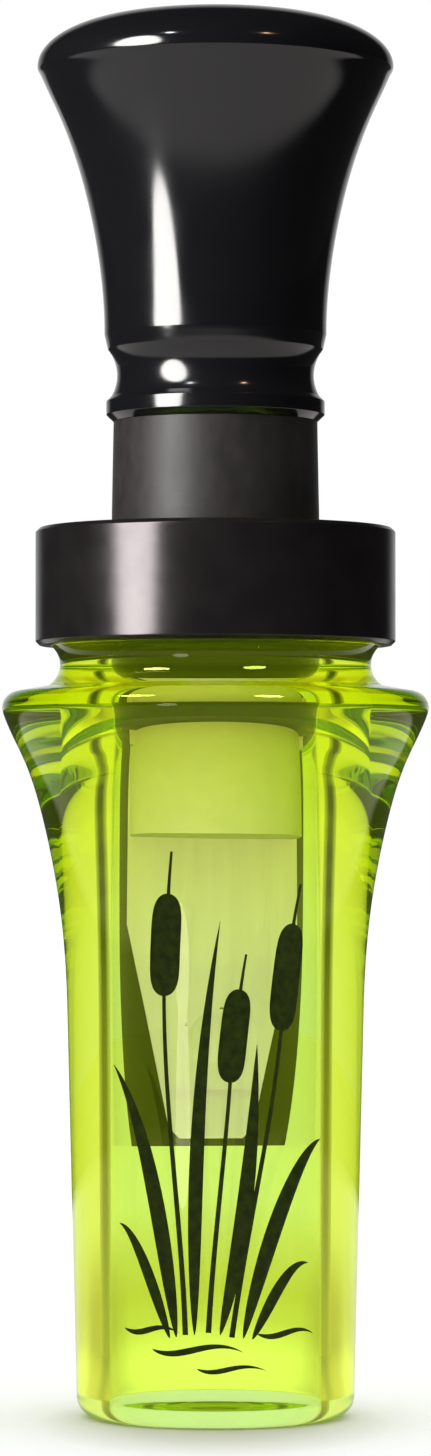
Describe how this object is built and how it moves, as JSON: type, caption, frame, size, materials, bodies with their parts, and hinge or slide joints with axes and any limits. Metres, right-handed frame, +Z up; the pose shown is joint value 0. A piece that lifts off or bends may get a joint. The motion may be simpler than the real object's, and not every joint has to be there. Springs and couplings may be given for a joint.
{
  "type": "duck call",
  "caption": "Hand-held double-reed duck call: clear acrylic barrel with a lanyard groove and metal band, and a pull-out insert with tone board, reeds, wedge and flared bell.",
  "frame": {"origin": "centre of the mouthpiece's end face, which the call stands on", "axes": "+Z up along the bore from the mouthpiece to the bell; the reeds and the printed mark face -Y; +X is to the right seen from there"},
  "size_m": [0.0376, 0.0376, 0.1233],
  "materials": {
    "acrylic_green": "polished, transparent lime green",
    "anodised_black": "satin, black anodised",
    "acrylic_black": "polished",
    "polymer_black": "machined, matte",
    "reed_film": "milky polyester film",
    "wedge_cream": "moulded, cream, slightly uneven",
    "seal_rubber": "moulded"
  },
  "bodies": {
    "barrel": {"barrel": "acrylic_green", "band": "anodised_black"},
    "seal_rings": {"lower_o_ring": "seal_rubber", "upper_o_ring": "seal_rubber"},
    "insert": {"tone_board_insert": "polymer_black", "bell": "acrylic_black", "reed_wedge": "wedge_cream"},
    "long_reed": {"long_reed": "reed_film"},
    "short_reed": {"short_reed": "reed_film"}
  },
  "joints": [
    {"name": "insert_slide", "type": "slide", "parent": "barrel", "child": "seal_rings", "axis": [0, 0, 1], "range_m": [-0.0092, 0.056]},
    {"name": "insert_twist", "type": "hinge", "parent": "seal_rings", "child": "insert", "pos_m": [0, 0, 0.0715], "axis": [0, 0, 1], "continuous": true},
    {"name": "long_reed_flex", "type": "hinge", "parent": "insert", "child": "long_reed", "pos_m": [-0.0003, 0.00227, 0.04183], "axis": [0.9914, 0.1305, 0], "range_deg": [-1.5, 5.2], "stiffness_Nm_per_rad": 0.0055, "deforming": ["long_reed"]},
    {"name": "short_reed_flex", "type": "hinge", "parent": "insert", "child": "short_reed", "pos_m": [-0.0003, 0.00227, 0.04183], "axis": [0.9914, 0.1305, 0], "range_deg": [-1.5, 5.2], "stiffness_Nm_per_rad": 0.0055, "deforming": ["short_reed"]}
  ],
  "couplings": [
    {"joint": "short_reed_flex", "follows": "long_reed_flex", "ratio": 1}
  ]
}
